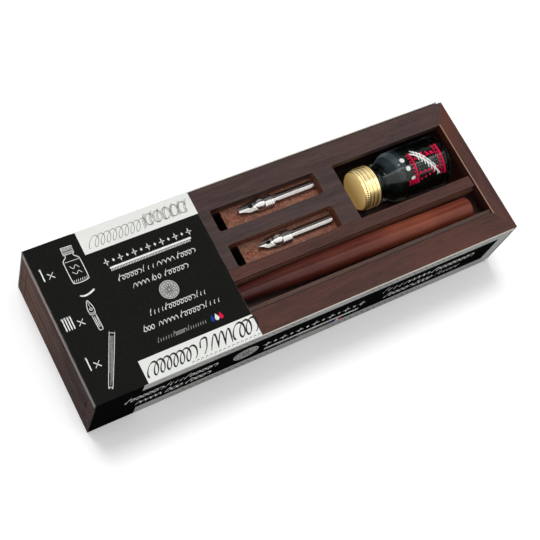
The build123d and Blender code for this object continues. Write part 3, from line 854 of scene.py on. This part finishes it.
# Print: closed ribbons and plates, a hundredth of a millimetre proud, on flat panels or round the bottle.
printLook = {
    "proud": 0.010, "sunk": 0.005, "step": 0.006, "endWidth": 0.45, "roughness": 0.6, "sheen": 0.0,
    "patch": 700.0, "fade": 0.8,
    "tones": {
        "White": tone(.86, .87, .84), "Grey": tone(.36, .36, .34), "Pencil": tone(.22, .22, .21),
        "Silver": tone(.50, .50, .49), "Dark": tone(.035, .035, .034), "Red": tone(.78, .012, .075),
        "Blue": tone(.012, .05, .26),
    },
}


def printInk(name, color):
    material, skin, place = startMaterial(name)
    patch = eased(cloud(place, printLook["patch"], 3, 0.6), 0.35, 0.7)
    thin = tone(*[part * printLook["fade"] for part in color[:3]])
    feed(skin, Base_Color=mixed(patch, color, thin), Roughness=printLook["roughness"],
         Specular_IOR_Level=printLook["sheen"])
    return material


def flatPanel(origin, across, up):
    origin, across, up = Vector(origin), Vector(across), Vector(up)
    out = across.cross(up)
    return lambda u, v, lift: origin + across * u + up * v + out * lift


def roundPanel(start, middle, radius):
    return lambda u, v, lift: onBottle(start + u, radius + lift, math.radians(middle) + v / radius)


printInks = {name: printInk("print" + name, color) for name, color in printLook["tones"].items()}
printShapes = defaultdict(bmesh.new)
low, high = sleeveLow / mm, sleeveHigh / mm
panels = {
    "top": flatPanel((low.x, low.y, high.z), (1, 0, 0), (0, 1, 0)),
    "front": flatPanel((low.x, low.y, low.z), (1, 0, 0), (0, 0, 1)),
    "back": flatPanel((high.x, high.y, low.z), (-1, 0, 0), (0, 0, 1)),
    "bottle": roundPanel(18.5, -17.0, 12.2),
}


def ribbon(ink, panel, path, thin, nib=0.0, angle=40.0, closed=False, layer=0):
    spot = panels[panel]
    pen = Vector((math.cos(math.radians(angle)), math.sin(math.radians(angle))))
    points = [Vector(point) for point in path]
    last = len(points) - 1
    top, base = printLook["proud"] + layer * printLook["step"], -printLook["sunk"]
    rows = []
    for n, point in enumerate(points):
        before = points[n - 1 if closed else max(0, n - 1)]
        after = points[(n + 1) % (last + 1) if closed else min(last, n + 1)]
        way = (after - before).normalized()
        half = thin / 2 + nib / 2 * abs(pen.x * way.y - pen.y * way.x)
        if not closed and last > 3 and n in (0, last):
            half *= printLook["endWidth"]
        left, right = [point + Vector((-way.y, way.x)) * reach for reach in (half, -half)]
        rows.append([spot(*left, top), spot(*right, top), spot(*right, base), spot(*left, base)])
    wrapRows(printShapes[ink, panel], rows, closed)


def plate(ink, panel, outline, layer=0):
    lifts = (printLook["proud"] + layer * printLook["step"], -printLook["sunk"])
    wrapRows(printShapes[ink, panel], [[panels[panel](u, v, lift) for u, v in outline] for lift in lifts])


def curve(points, steps=6, closed=False):
    dots = [Vector(point) for point in points]
    count = len(dots)
    line = []
    for n in range(count if closed else count - 1):
        picks = [(n + k) % count if closed else min(count - 1, max(0, n + k)) for k in (-1, 0, 1, 2)]
        p = [dots[pick] for pick in picks]
        for s in range(steps):
            t = s / steps
            line.append(0.5 * (2 * p[1] + (p[2] - p[0]) * t
                               + (2 * p[0] - 5 * p[1] + 4 * p[2] - p[3]) * t * t
                               + (3 * p[1] - p[0] - 3 * p[2] + p[3]) * t ** 3))
    return line if closed else line + [dots[-1]]


# Pen drills: each gives strokes between u and u + length on a line at v.
def turnCount(length, pitch):
    return max(1, round(length / pitch))


def coils(u, v, length, height, pitch, lean=0.35, steps=14):
    turns = turnCount(length, pitch)
    path = []
    for n in range(turns * steps + 1):
        t = n / steps
        rise = height / 2 * (1 - math.cos(2 * math.pi * t))
        swing = 0.55 * pitch * math.sin(2 * math.pi * t)
        path.append((u + length * t / turns - swing + lean * rise, v + rise))
    return [path]


def scallops(u, v, length, height, pitch, lean=0.2, steps=8):
    count = turnCount(length, pitch) * steps
    path = []
    for n in range(count + 1):
        rise = height * abs(math.sin(math.pi * n / steps)) ** 0.75
        path.append((u + length * n / count + lean * rise, v + rise))
    return [path]


def slants(u, v, length, height, pitch, lean=0.35):
    turns = turnCount(length, pitch)
    starts = [u + length * n / turns for n in range(turns + 1)]
    return [curve([(start, v), (start + (lean * 0.5 - 0.12) * height, v + height * 0.5),
                   (start + lean * height, v + height)], 4) for start in starts]


def rings(u, v, length, height, pitch, lean=0.3):
    turns = turnCount(length, pitch)
    middles = [u + length * (n + 0.5) / turns for n in range(turns)]
    return [oval(middle, v + height / 2, height * 0.34, height / 2, lean / 2, 18) for middle in middles]


drills = {"coils": coils, "scallops": scallops, "slants": slants, "rings": rings}
drillStyles = {  # height, thin stroke, added by the nib, pitch, gap between groups
    "text": (1.9, 0.14, 0.22, 1.9, 1.7),
    "note": (1.4, 0.15, 0.2, 1.1, 1.3),
    "title": (3.4, 0.26, 0.5, 2.6, 2.4),
    "caption": (1.7, 0.16, 0.22, 1.3, 1.8),
}


def drillLine(ink, panel, style, u, v, *words):
    height, thin, nib, pitch, gap = drillStyles[style]
    for kind, length in words:
        for stroke in drills[kind](u, v, length, height, pitch):
            ribbon(ink, panel, stroke, thin, nib, closed=kind == "rings")
        if kind != "scallops":  # a taller entry stroke opens the group
            ribbon(ink, panel, curve([(u - 0.3, v + 0.1), (u + 0.25 * height, v + height),
                                      (u + 0.6 * height, v + 1.55 * height)], 4), thin, nib)
        u += length + gap


def drawAll(ink, panel, strokes, thin, nib):
    for stroke in strokes:
        ribbon(ink, panel, stroke, thin, nib)


def tally(ink, panel, u, v, count, height, pitch=1.15):
    for start in [u + n * pitch for n in range(count)]:
        ribbon(ink, panel, curve([(start - 0.25, v + height * 0.86), (start + 0.12, v + height),
                                  (start + 0.1, v + height * 0.5), (start + 0.1, v)], 4), 0.32, 0.3)
    middleU, middleV, half = u + count * pitch + 2.3, v + 1.7, 1.3
    for rise, thin in ((half, 0.252), (-half, 0.42)):
        ribbon(ink, panel, [(middleU - half, middleV - rise), (middleU, middleV),
                            (middleU + half, middleV + rise)], thin)


def doubleRule(ink, panel, u0, u1, v, thick):
    plate(ink, panel, [(u0, v), (u1, v), (u1, v + thick), (u0, v + thick)])
    pitch, foot, head = thick * 0.75, v - thick * 1.05, v - thick * 0.25
    for n in range(math.ceil((u1 - u0) / pitch - 1)):
        place = u0 + n * pitch
        plate(ink, panel, [(place, foot), (place + pitch * 0.5, foot), (place + pitch * 0.9, head),
                           (place + pitch * 0.4, head)])


def lozengeRow(ink, panel, u0, u1, v, height, count=13):
    for n in range(count):
        u = u0 + (u1 - u0) * n / (count - 1)
        for wide, tall in ((0.16, 0.22),) if n % 2 else ((0.13, 0.52), (0.42, 0.13)):
            plate(ink, panel, [(u + wide * height * a, v + height / 2 + tall * height * b)
                               for a, b in ((1, 0), (0, 1), (-1, 0), (0, -1))])


def rosette(ink, dark, panel, u, v, radius, petals=12):
    petal = ((-1, 0), (-0.3, 1), (0.5, 0.9), (1, 0), (0.5, -0.9), (-0.3, -1))
    plate(ink, panel, oval(u, v, radius, radius, count=48))
    lines = [(oval(u, v, radius * 0.86, radius * 0.86, count=48), 0.05)]
    for angle in ringAngles(petals):
        turn = Matrix.Rotation(angle, 2)
        spots = [turn @ Vector((radius * (0.48 + 0.28 * a), radius * 0.09 * b)) for a, b in petal]
        lines.append((curve([(u + spot.x, v + spot.y) for spot in spots], 3, True), 0.045))
    lines.append((oval(u, v, radius * 0.14, radius * 0.14, count=16), 0.06))
    for line, thin in lines:
        ribbon(dark, panel, line, radius * thin, closed=True, layer=1)


def drops(panel, u, v, size):
    arc = [math.radians(60 + 30 * k) for k in range(9)]
    for n, ink in enumerate(("Blue", "White", "Red")):
        place = u + (n - 1) * size * 1.05
        belly = [(place + size * 0.5 * math.sin(angle), v - size * 0.15 + size * 0.55 * math.cos(angle))
                 for angle in arc]
        plate(ink, panel, [(place, v + size)] + belly)


# Pictures of what the box holds, as thin outlines.
def penAt(ink, panel, u, v, width):
    def line(points, thin=width, closed=False, rounded=True):
        moved = [(u + a, v + b) for a, b in points]
        ribbon(ink, panel, curve(moved, 4, closed) if rounded else moved, thin, closed=closed)
    return line


def bottlePicture(ink, panel, u, v):
    line = penAt(ink, panel, u, v, 0.34)
    line([(1.6, 17.0), (1.4, 13.6), (6.2, 13.4), (6.4, 16.8)], closed=True, rounded=False)
    for place in [0.5 * k for k in range(9)]:
        line([(1.75 + place, 16.7), (1.95 + place, 15.2)], 0.2, rounded=False)
        line([(1.65 + place, 14.9), (1.95 + place, 13.8)], 0.2, rounded=False)
    line([(2.0, 13.4), (1.9, 12.4), (0.5, 11.2), (0.1, 9.6), (0.2, 1.4), (0.9, 0.2), (3.8, -0.1), (6.7, 0.3),
          (7.4, 1.5), (7.4, 9.4), (7.0, 11.0), (5.7, 12.2), (5.6, 13.3)])
    line([(0.6, 10.3), (7.0, 10.1)], 0.2, rounded=False)
    for place in [0.95 * k for k in range(7)]:
        line([(0.7 + place, 0.5), (1.1 + place, 1.6)], 0.22, rounded=False)
    line([(1.8, 8.2), (3.0, 6.6), (4.4, 8.0), (5.6, 6.4)], 0.25)
    line([(1.8, 5.4), (3.4, 4.0), (4.6, 5.2), (5.8, 3.8)], 0.25)


def nibPicture(ink, panel, u, v):
    line = penAt(ink, panel, u, v, 0.3)
    line([(0.2, 14.0), (-0.9, 11.6), (-1.2, 9.4), (-0.7, 7.4), (0.9, 7.3), (1.5, 9.2), (1.3, 11.4)],
         closed=True)
    line([(0.2, 13.4), (0.2, 10.8)], 0.2)
    line([(-0.4, 9.9), (0.2, 10.5), (0.8, 9.9), (0.2, 9.3)], 0.28, True)
    for drop in (0.0, 0.6, 1.2):
        line([(-0.8, 8.6 - drop), (0.2, 8.2 - drop), (1.2, 8.6 - drop)], 0.2)
    line([(-0.6, 7.2), (-0.5, 3.6), (-0.3, 0.4), (0.5, 0.0), (1.3, 0.4), (1.3, 3.6), (1.1, 7.2)])
    line([(0.1, 6.4), (0.2, 1.2)])
    line([(0.8, 6.4), (0.8, 1.2)], 0.2)


def holderPicture(ink, panel, start, end, half):
    start, end = Vector(start), Vector(end)
    way = (end - start).normalized()
    side = Vector((-way.y, way.x)) * half
    outline = [start + side * 0.8, start + side + way * 0.6, end - way + side * 0.8, end + side * 0.3,
               end - side * 0.3, end - way - side * 0.8, start - side + way * 0.6, start - side * 0.8]
    ribbon(ink, panel, curve(outline, 4, True), 0.24, closed=True)
    for share, reach in ((0.45, 0.9), (0.0, 0.97), (-0.5, 0.75)):
        foot = start + side * share
        ribbon("Grey", panel, [foot + way * 1.2, foot + (end - start) * reach], 0.3)


def topPanel(ink="White", panel="top"):
    for u, v, count in ((3.2, 57.0, 1), (2.6, 33.4, 4), (4.6, 14.3, 1)):
        tally(ink, panel, u, v, count, 6.0)
    bottlePicture(ink, panel, 13.5, 51.6)
    ribbon(ink, panel, curve([(13.9, 46.0), (15.6, 45.3), (18.2, 45.6), (20.7, 46.6)]), 0.14, 0.7, 110)
    nibPicture(ink, panel, 15.4, 29.0)
    holderPicture(ink, panel, (19.1, 26.0), (8.9, 5.1), 1.15)
    lozengeRow(ink, panel, 30.4, 69.4, 53.9, 3.6)
    doubleRule(ink, panel, 30.7, 69.1, 52.2, 0.95)
    drillLine(ink, panel, "text", 32.2, 45.9, ("coils", 9.5), ("slants", 4.5), ("scallops", 8.5),
              ("coils", 7.5))
    drillLine(ink, panel, "text", 36.0, 40.6, ("scallops", 7.5), ("rings", 4.4), ("coils", 10.0))
    drillLine(ink, panel, "text", 37.5, 26.6, ("slants", 5.5), ("coils", 13.0), ("slants", 3.5))
    drillLine(ink, panel, "text", 31.8, 21.0, ("rings", 5.0), ("scallops", 9.0), ("coils", 10.0),
              ("slants", 6.0))
    drillLine("Grey", panel, "note", 35.2, 14.6, ("slants", 6.0), ("coils", 5.5), ("slants", 8.0))
    rosette("Silver", "Dark", panel, 49.6, 34.4, 4.3)
    drops(panel, 62.8, 15.2, 1.9)
    # Writing on the white strips
    drawAll("Pencil", panel, coils(27.0, 63.8, 25.0, 5.2, 2.7, 0.5, 18), 0.16, 0.22)
    for stroke in slants(53.0, 64.2, 20.0, 6.6, 3.3, 0.3) + rings(54.0, 64.6, 20.0, 5.4, 4.0):
        for shade, step in (("Grey", -0.32), ("Pencil", 0.32)):
            ribbon(shade, panel, [(point[0] + step, point[1]) for point in stroke], 0.2, 0.1)
    drawAll("Dark", panel, coils(25.2, 2.4, 21.0, 5.6, 3.0, 0.45, 18), 0.24, 0.75)
    swirl = curve([(50.0, 5.4), (51.6, 8.6), (54.2, 8.8), (53.0, 5.2), (50.6, 2.4)])
    flourish = scallops(54.0, 2.6, 10.0, 6.2, 3.4, 0.4, 12) + coils(66.0, 3.0, 9.5, 6.4, 3.6, 0.4, 18)
    drawAll("Dark", panel, flourish + [swirl], 0.26, 0.8)
    starts = [44.0 + 2.1 * n for n in range(16)]
    ticks = [curve([(u, 0.7), (u + 0.6, 1.5), (u + 1.4, 1.2)], 3) for u in starts]
    drawAll("Pencil", panel, ticks, 0.16, 0.25)


def sidePanel(panel, ink="White"):
    drillLine(ink, panel, "title", 15.5, 20.6, ("coils", 16.0), ("slants", 7.0), ("coils", 14.0))
    drillLine(ink, panel, "title", 20.7, 12.4, ("scallops", 12.0), ("rings", 8.0), ("coils", 10.0))
    rosette("Silver", "Dark", panel, 73.3, 19.6, 6.2)
    lozengeRow(ink, panel, 84.0, 134.0, 17.4, 5.6)
    doubleRule(ink, panel, 84.0, 134.0, 13.6, 1.2)
    drillLine("Grey", panel, "caption", 92.0, 9.6, ("slants", 8.0), ("coils", 10.0), ("slants", 6.0))
    drops(panel, 123.5, 10.2, 1.7)
    drillLine(ink, panel, "title", 145.0, 21.4, ("slants", 9.0), ("scallops", 14.0), ("coils", 22.0))
    drillLine(ink, panel, "title", 149.0, 13.0, ("coils", 14.0), ("rings", 10.0), ("slants", 12.0))
    for start, length in ((40.0, 46.0), (118.0, 52.0)):
        for aside, v, height in ((0.0, 1.8, 4.2), (12.0, 31.8, 3.6)):
            drawAll("Pencil", panel, coils(start + aside, v, length, height, 3.2, 0.5), 0.2, 0.4)


def bottlePanel(ink="Red", panel="bottle"):
    for u, thick in ((9.2, 0.7), (24.6, 0.8), (22.4, 0.35)):
        ribbon(ink, panel, [(u, -8.0 + 0.5 * n) for n in range(33)], thick)
    for v in [-7.4 + 1.75 * n for n in range(9)]:
        ribbon(ink, panel, [(23.1, v), (23.5, v + 0.6), (23.9, v + 0.2)], 0.5)
        ribbon(ink, panel, [(7.4, v), (7.9, v + 0.5), (8.5, v)], 0.5)
    for n in range(5):
        u = 11.0 + 2.4 * n
        plate(ink, panel, oval(u, -6.4 + 0.4 * n, 0.6, 0.55, count=12))
        plate(ink, panel, oval(u - 0.4, 6.6 - 0.5 * n, 0.55, 0.6, count=12))
        for v in (3.2, -4.0):
            ribbon(ink, panel, curve([(u - 0.8, v), (u - 0.1, v + 1.1), (u + 0.7, v + 0.2)], 5), 0.35, 0.4)
    for u in [3.6 + 1.4 * n for n in range(4)]:
        ribbon(ink, panel, curve([(u, -7.8), (u + 0.8, -6.6), (u + 0.4, -5.0)], 5), 0.4, 0.4)
    # A quill and three blots
    spine = curve([(9.6, 7.4), (13.0, 4.6), (17.0, -0.4), (21.6, -7.0)], 10)
    ribbon("White", panel, spine, 0.8, layer=1)
    for n in range(7):
        root, reach = spine[7 + 3 * n], 5.0 - 0.35 * abs(n - 3)
        for way in ((-0.25, 0.85), (0.15, -0.8)):
            tip = root + Vector(way) * reach
            barb = curve([root, root.lerp(tip, 0.5) + Vector((0.5, 0.0)), tip], 5)
            ribbon("White", panel, barb, 0.55, layer=1)
    for u, v, wide, tall, lean in ((4.2, 5.4, 1.25, 1.25, 0.0), (5.2, 0.6, 1.2, 1.2, 0.0),
                                   (6.4, -4.4, 1.2, 0.8, 0.3)):
        plate("White", panel, oval(u, v, wide, tall, lean), layer=1)


topPanel()
sidePanel("front")
sidePanel("back")
bottlePanel()
for (ink, panel), shape in printShapes.items():
    body, slotName = ("bottle", "bottle_glass") if panel == "bottle" else ("sleeve", "printed_card")
    finishMesh(shape, panel + "Print" + ink, printInks[ink], body, smooth=False)
print("print laid")


# Floor and light
stageLook = {
    "size": 6.0, "floorTone": tone(.90, .90, .90), "floorShade": tone(.87, .87, .87), "glow": 0.21,
    "sky": {"horizon": 0.2, "zenith": 1.72, "from": 0.72, "to": 1.0},
    "mirrored": {
        "dark": 0.10, "side": 1.15, "sideFrom": 0.13, "sideTo": -0.02, "far": -0.66, "farSoft": 0.26,
        "core": 2.2, "coreAt": 0.03, "coreHalf": 0.12, "rim": 0.7, "rimHeight": 0.3,
        "back": 0.35, "backFrom": 0.42, "backTo": 0.72,
    },
    "sunStrength": 1.45, "sunAngle": 20.0, "sunFrom": (-0.03, 0.40, 0.92),
}
cameraLook = {
    "place": (-0.20973, -0.14915, 0.49496), "turn": (24.504, -13.262, -28.135), "lens": 79.35, "sensor": 36.0,
    "near": 0.01, "far": 50.0,
}


def addObject(name, data):
    thing = bpy.data.objects.new(name, data)
    bpy.context.scene.collection.objects.link(thing)
    return thing


def seenDirectly(tree):
    ways = put(tree, "LightPath").outputs
    rays = ("Camera", "Glossy", "Transmission")
    camera, glossy, clear = [Wire(tree, ways["Is " + ray + " Ray"]) for ray in rays]
    return calc("MINIMUM", camera + glossy + clear, 1.0), glossy


def layFloor():
    look = stageLook
    half = look["size"] / 2
    mesh = bpy.data.meshes.new("floor")
    corners = [(-half, -half, 0), (half, -half, 0), (half, half, 0), (-half, half, 0)]
    mesh.from_pydata(corners, [], [(0, 1, 2, 3)])
    floor = addObject("floor", mesh)
    material, skin, place = startMaterial("paleFloor")
    feed(skin, Base_Color=mixed(cloud(place, 6, 2), look["floorTone"], look["floorShade"]), Roughness=1.0,
         Specular_IOR_Level=0.0, Emission_Color=tone(1, 1, 1),
         Emission_Strength=seenDirectly(place.tree)[0] * look["glow"])
    mesh.materials.append(material)


def hangDome():
    world = bpy.data.worlds.new("studio")
    bpy.context.scene.world = world
    world.use_nodes = True
    tree = world.node_tree
    tree.nodes.clear()
    direct, glossy = seenDirectly(tree)
    x, y, z = split(Wire(tree, put(tree, "TexCoord").outputs["Generated"]))
    sky = stageLook["sky"]
    light = eased(z, sky["from"], sky["to"], sky["horizon"], sky["zenith"])
    # What shiny things mirror: a bright side towards the viewer with a hot strip on it, and a dark far side.
    look = stageLook["mirrored"]
    near = eased(y, look["sideFrom"], look["sideTo"]) * eased(y, look["far"] - look["farSoft"], look["far"])
    core = eased(abs(y - look["coreAt"]), look["coreHalf"], look["coreHalf"] * 0.3) * look["core"]
    rim = eased(z, look["rimHeight"], 0.0) * look["rim"]
    back = eased(y, look["backFrom"], look["backTo"]) * look["back"]
    gloss = near * look["side"] + (core + look["dark"]) + rim + back
    strength = blended(direct, light, blended(glossy, 1.0, gloss))
    dome = put(tree, "Background", {"Color": tone(1, 1, 1), "Strength": strength})
    put(tree, "OutputWorld", {0: Wire(tree, dome.outputs[0])})


def hangSun():
    lamp = bpy.data.lights.new("softSun", "SUN")
    lamp.energy = stageLook["sunStrength"]
    lamp.angle = math.radians(stageLook["sunAngle"])
    sun = addObject("softSun", lamp)
    sun.rotation_mode = "QUATERNION"
    sun.rotation_quaternion = Vector(stageLook["sunFrom"]).to_track_quat("Z", "Y")
    sun.visible_glossy = False


def setCamera():
    look = cameraLook
    lens = bpy.data.cameras.new("camera")
    lens.lens, lens.sensor_width = look["lens"], look["sensor"]
    lens.clip_start, lens.clip_end = look["near"], look["far"]
    camera = addObject("camera", lens)
    camera.location = look["place"]
    camera.rotation_euler = [math.radians(angle) for angle in look["turn"]]
    bpy.context.scene.camera = camera


layFloor()
hangDome()
hangSun()
setCamera()
bpy.context.scene.view_settings.view_transform = "Standard"
print("stage set")
